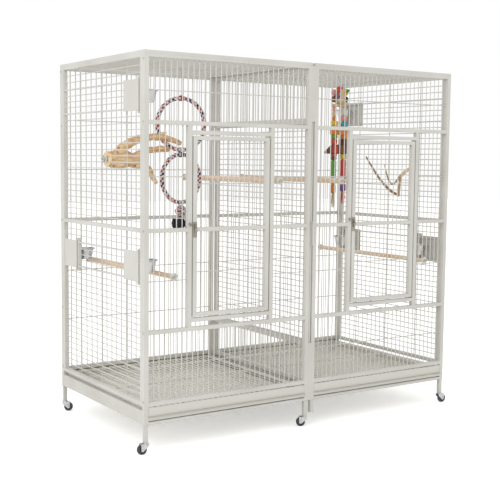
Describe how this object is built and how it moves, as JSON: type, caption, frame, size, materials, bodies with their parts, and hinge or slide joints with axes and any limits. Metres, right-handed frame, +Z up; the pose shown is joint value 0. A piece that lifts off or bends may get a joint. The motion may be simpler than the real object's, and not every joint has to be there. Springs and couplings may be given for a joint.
{
  "type": "double parrot cage",
  "caption": "Wide double bird cage of welded wire on casters, with front doors, swing-out feeders, pull-out trays and a slide-out divider.",
  "frame": {"origin": "on the floor, below the middle of the cage", "axes": "+X along the front to the right, +Y from the front to the back, +Z up"},
  "size_m": [1.679, 0.839, 1.58],
  "materials": {
    "coated_steel": "satin powder coat",
    "coated_sheet": "satin powder coat",
    "bright_steel": "bright zinc plate",
    "stainless": "polished stainless steel",
    "caster_plastic": "dark moulded wheel",
    "pine": "plain sanded dowel",
    "hard_wood": "sanded branch",
    "rope": "twisted cotton rope",
    "toy_wood": "dyed wooden blocks"
  },
  "bodies": {
    "cage": {"back_panel_left": "coated_steel", "back_panel_right": "coated_steel", "base_left": "coated_steel", "base_right": "coated_steel", "branch_perch": "hard_wood", "caster_mounts": "bright_steel", "divider_lower_barrier": "coated_steel", "divider_upper_barrier": "coated_steel", "front_panel_left": "coated_steel", "front_panel_right": "coated_steel", "latch_keeper_left": "bright_steel", "latch_keeper_right": "bright_steel", "panel_bolts": "bright_steel", "perch_fasteners": "bright_steel", "perch_lower_left": "pine", "perch_lower_right": "pine", "perch_upper_left": "pine", "perch_upper_right": "pine", "roof_panel_left": "coated_steel", "roof_panel_right": "coated_steel", "side_panel_left": "coated_steel", "side_panel_right": "coated_steel", "twig_perch": "hard_wood"},
    "door_left": {"door_left": "coated_steel", "latch_plate_left": "bright_steel"},
    "latch_left": {"latch_tongue_left": "bright_steel"},
    "tray_left": {"tray_left": "coated_sheet"},
    "floor_grate_left": {"floor_grate_left": "coated_sheet"},
    "door_right": {"door_right": "coated_steel", "latch_plate_right": "bright_steel"},
    "latch_right": {"latch_tongue_right": "bright_steel"},
    "tray_right": {"tray_right": "coated_sheet"},
    "floor_grate_right": {"floor_grate_right": "coated_sheet"},
    "feeder_left_upper": {"feeder_left_upper": "coated_steel"},
    "bowl_left_upper": {"bowl_left_upper": "stainless"},
    "feeder_left_front": {"feeder_left_front": "coated_steel"},
    "bowl_left_front": {"bowl_left_front": "stainless"},
    "feeder_left_back": {"feeder_left_back": "coated_steel"},
    "bowl_left_back": {"bowl_left_back": "stainless"},
    "feeder_right_upper": {"feeder_right_upper": "coated_steel"},
    "bowl_right_upper": {"bowl_right_upper": "stainless"},
    "feeder_right_front": {"feeder_right_front": "coated_steel"},
    "bowl_right_front": {"bowl_right_front": "stainless"},
    "feeder_right_back": {"feeder_right_back": "coated_steel"},
    "bowl_right_back": {"bowl_right_back": "stainless"},
    "divider": {"sliding_divider": "coated_steel"},
    "fork_front_left": {"caster_fork_front_left": "bright_steel"},
    "wheel_front_left": {"caster_wheel_front_left": "caster_plastic"},
    "fork_front_middle": {"caster_fork_front_middle": "bright_steel"},
    "wheel_front_middle": {"caster_wheel_front_middle": "caster_plastic"},
    "fork_front_right": {"caster_fork_front_right": "bright_steel"},
    "wheel_front_right": {"caster_wheel_front_right": "caster_plastic"},
    "fork_back_left": {"caster_fork_back_left": "bright_steel"},
    "wheel_back_left": {"caster_wheel_back_left": "caster_plastic"},
    "fork_back_middle": {"caster_fork_back_middle": "bright_steel"},
    "wheel_back_middle": {"caster_wheel_back_middle": "caster_plastic"},
    "fork_back_right": {"caster_fork_back_right": "bright_steel"},
    "wheel_back_right": {"caster_wheel_back_right": "caster_plastic"},
    "rope_toy": {"rope_ring_toy": "rope"},
    "wood_toy": {"block_toy": "toy_wood"}
  },
  "joints": [
    {"name": "door_left_swing", "type": "hinge", "parent": "cage", "child": "door_left", "pos_m": [-0.235, -0.397, 0.89], "axis": [0, 0, 1], "range_deg": [0, 105]},
    {"name": "latch_left_turn", "type": "hinge", "parent": "door_left", "child": "latch_left", "pos_m": [-0.586, -0.4098, 0.903], "axis": [0, 1, 0], "range_deg": [0, 90]},
    {"name": "tray_left_pull", "type": "slide", "parent": "cage", "child": "tray_left", "axis": [0, -1, 0], "range_m": [0, 0.7]},
    {"name": "floor_grate_left_pull", "type": "slide", "parent": "cage", "child": "floor_grate_left", "axis": [0, -1, 0], "range_m": [0, 0.7]},
    {"name": "door_right_swing", "type": "hinge", "parent": "cage", "child": "door_right", "pos_m": [0.586, -0.397, 0.89], "axis": [0, 0, 1], "range_deg": [0, 105]},
    {"name": "latch_right_turn", "type": "hinge", "parent": "door_right", "child": "latch_right", "pos_m": [0.235, -0.4098, 0.903], "axis": [0, 1, 0], "range_deg": [0, 90]},
    {"name": "tray_right_pull", "type": "slide", "parent": "cage", "child": "tray_right", "axis": [0, -1, 0], "range_m": [0, 0.7]},
    {"name": "floor_grate_right_pull", "type": "slide", "parent": "cage", "child": "floor_grate_right", "axis": [0, -1, 0], "range_m": [0, 0.7]},
    {"name": "feeder_left_upper_swing", "type": "hinge", "parent": "cage", "child": "feeder_left_upper", "pos_m": [-0.815, -0.356, 1.412], "axis": [0, 0, 1], "range_deg": [0, 105]},
    {"name": "bowl_left_upper_lift", "type": "slide", "parent": "feeder_left_upper", "child": "bowl_left_upper", "axis": [0, 0, 1], "range_m": [0, 0.05]},
    {"name": "feeder_left_front_swing", "type": "hinge", "parent": "cage", "child": "feeder_left_front", "pos_m": [-0.815, -0.356, 0.742], "axis": [0, 0, 1], "range_deg": [0, 105]},
    {"name": "bowl_left_front_lift", "type": "slide", "parent": "feeder_left_front", "child": "bowl_left_front", "axis": [0, 0, 1], "range_m": [0, 0.05]},
    {"name": "feeder_left_back_swing", "type": "hinge", "parent": "cage", "child": "feeder_left_back", "pos_m": [-0.815, 0.233, 0.742], "axis": [0, 0, 1], "range_deg": [0, 105]},
    {"name": "bowl_left_back_lift", "type": "slide", "parent": "feeder_left_back", "child": "bowl_left_back", "axis": [0, 0, 1], "range_m": [0, 0.05]},
    {"name": "feeder_right_upper_swing", "type": "hinge", "parent": "cage", "child": "feeder_right_upper", "pos_m": [0.815, 0.356, 1.412], "axis": [0, 0, 1], "range_deg": [0, 105]},
    {"name": "bowl_right_upper_lift", "type": "slide", "parent": "feeder_right_upper", "child": "bowl_right_upper", "axis": [0, 0, 1], "range_m": [0, 0.05]},
    {"name": "feeder_right_front_swing", "type": "hinge", "parent": "cage", "child": "feeder_right_front", "pos_m": [0.815, -0.233, 0.742], "axis": [0, 0, 1], "range_deg": [0, 105]},
    {"name": "bowl_right_front_lift", "type": "slide", "parent": "feeder_right_front", "child": "bowl_right_front", "axis": [0, 0, 1], "range_m": [0, 0.05]},
    {"name": "feeder_right_back_swing", "type": "hinge", "parent": "cage", "child": "feeder_right_back", "pos_m": [0.815, 0.356, 0.742], "axis": [0, 0, 1], "range_deg": [0, 105]},
    {"name": "bowl_right_back_lift", "type": "slide", "parent": "feeder_right_back", "child": "bowl_right_back", "axis": [0, 0, 1], "range_m": [0, 0.05]},
    {"name": "divider_pull", "type": "slide", "parent": "cage", "child": "divider", "axis": [0, -1, 0], "range_m": [0, 0.7]},
    {"name": "caster_front_left_swivel", "type": "hinge", "parent": "cage", "child": "fork_front_left", "pos_m": [-0.8035, -0.397, 0.045], "axis": [0, 0, 1], "continuous": true},
    {"name": "caster_front_left_roll", "type": "hinge", "parent": "fork_front_left", "child": "wheel_front_left", "pos_m": [-0.8195, -0.397, 0.02], "axis": [0, -1, 0], "continuous": true},
    {"name": "caster_front_middle_swivel", "type": "hinge", "parent": "cage", "child": "fork_front_middle", "pos_m": [-0.0175, -0.397, 0.045], "axis": [0, 0, 1], "continuous": true},
    {"name": "caster_front_middle_roll", "type": "hinge", "parent": "fork_front_middle", "child": "wheel_front_middle", "pos_m": [-0.03136, -0.389, 0.02], "axis": [-0.5, -0.866, 0], "continuous": true},
    {"name": "caster_front_right_swivel", "type": "hinge", "parent": "cage", "child": "fork_front_right", "pos_m": [0.8035, -0.397, 0.045], "axis": [0, 0, 1], "continuous": true},
    {"name": "caster_front_right_roll", "type": "hinge", "parent": "fork_front_right", "child": "wheel_front_right", "pos_m": [0.8195, -0.397, 0.02], "axis": [0, 1, 0], "continuous": true},
    {"name": "caster_back_left_swivel", "type": "hinge", "parent": "cage", "child": "fork_back_left", "pos_m": [-0.8035, 0.397, 0.045], "axis": [0, 0, 1], "continuous": true},
    {"name": "caster_back_left_roll", "type": "hinge", "parent": "fork_back_left", "child": "wheel_back_left", "pos_m": [-0.78964, 0.389, 0.02], "axis": [0.5, 0.866, 0], "continuous": true},
    {"name": "caster_back_middle_swivel", "type": "hinge", "parent": "cage", "child": "fork_back_middle", "pos_m": [-0.0175, 0.397, 0.045], "axis": [0, 0, 1], "continuous": true},
    {"name": "caster_back_middle_roll", "type": "hinge", "parent": "fork_back_middle", "child": "wheel_back_middle", "pos_m": [-0.0095, 0.38314, 0.02], "axis": [0.866, 0.5, 0], "continuous": true},
    {"name": "caster_back_right_swivel", "type": "hinge", "parent": "cage", "child": "fork_back_right", "pos_m": [0.8035, 0.397, 0.045], "axis": [0, 0, 1], "continuous": true},
    {"name": "caster_back_right_roll", "type": "hinge", "parent": "fork_back_right", "child": "wheel_back_right", "pos_m": [0.7955, 0.38314, 0.02], "axis": [0.866, -0.5, 0], "continuous": true},
    {"name": "rope_toy_swing", "type": "hinge", "parent": "cage", "child": "rope_toy", "pos_m": [-0.355, 0.1125, 1.5735], "axis": [1, 0, 0], "range_deg": [-12, 12]},
    {"name": "wood_toy_swing", "type": "hinge", "parent": "cage", "child": "wood_toy", "pos_m": [0.46, -0.0125, 1.5735], "axis": [1, 0, 0], "range_deg": [-12, 12]}
  ]
}
